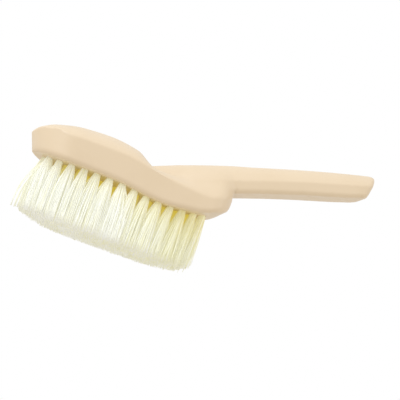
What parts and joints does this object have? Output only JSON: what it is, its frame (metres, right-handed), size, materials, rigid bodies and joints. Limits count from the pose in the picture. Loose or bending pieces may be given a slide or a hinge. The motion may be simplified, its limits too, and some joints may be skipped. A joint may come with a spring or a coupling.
{
  "type": "carpet brush",
  "caption": "Hand brush for carpets: thick oval one-piece moulded block with a raised curved handle, and staple-set bristle tufts trimmed level, fanning out at the edges",
  "frame": {"origin": "middle of the bounding box, on the surface that the bristle tips stand on", "axes": "+X runs along the brush from its nose to the handle's end, +Y across it, +Z from the bristle tips up to the block and handle"},
  "size_m": [0.2146, 0.0552, 0.1005],
  "materials": {
    "block_plastic": "cream moulded plastic, smooth with a soft satin sheen",
    "bristle": "off-white translucent bristle filament, slightly yellowed between the tufts"
  },
  "bodies": {
    "root": {"handle_block": "block_plastic", "tuft_outer_01": "bristle", "tuft_outer_02": "bristle", "tuft_outer_03": "bristle", "tuft_outer_04": "bristle", "tuft_outer_05": "bristle", "tuft_outer_06": "bristle", "tuft_outer_07": "bristle", "tuft_outer_08": "bristle", "tuft_outer_09": "bristle", "tuft_outer_10": "bristle", "tuft_outer_11": "bristle", "tuft_outer_12": "bristle", "tuft_outer_13": "bristle", "tuft_outer_14": "bristle", "tuft_outer_15": "bristle", "tuft_outer_16": "bristle", "tuft_outer_17": "bristle", "tuft_outer_18": "bristle", "tuft_outer_19": "bristle", "tuft_outer_20": "bristle", "tuft_outer_21": "bristle", "tuft_outer_22": "bristle", "tuft_outer_23": "bristle", "tuft_outer_24": "bristle", "tuft_outer_25": "bristle", "tuft_outer_26": "bristle", "tuft_outer_27": "bristle", "tuft_outer_28": "bristle", "tuft_outer_29": "bristle", "tuft_outer_30": "bristle", "tuft_middle_01": "bristle", "tuft_middle_02": "bristle", "tuft_middle_03": "bristle", "tuft_middle_04": "bristle", "tuft_middle_05": "bristle", "tuft_middle_06": "bristle", "tuft_middle_07": "bristle", "tuft_middle_08": "bristle", "tuft_middle_09": "bristle", "tuft_middle_10": "bristle", "tuft_middle_11": "bristle", "tuft_middle_12": "bristle", "tuft_middle_13": "bristle", "tuft_middle_14": "bristle", "tuft_middle_15": "bristle", "tuft_middle_16": "bristle", "tuft_middle_17": "bristle", "tuft_middle_18": "bristle", "tuft_middle_19": "bristle", "tuft_middle_20": "bristle", "tuft_middle_21": "bristle", "tuft_centre_01": "bristle", "tuft_centre_02": "bristle", "tuft_centre_03": "bristle", "tuft_centre_04": "bristle", "tuft_centre_05": "bristle", "tuft_centre_06": "bristle", "tuft_centre_07": "bristle", "tuft_centre_08": "bristle"}
  },
  "joints": []
}
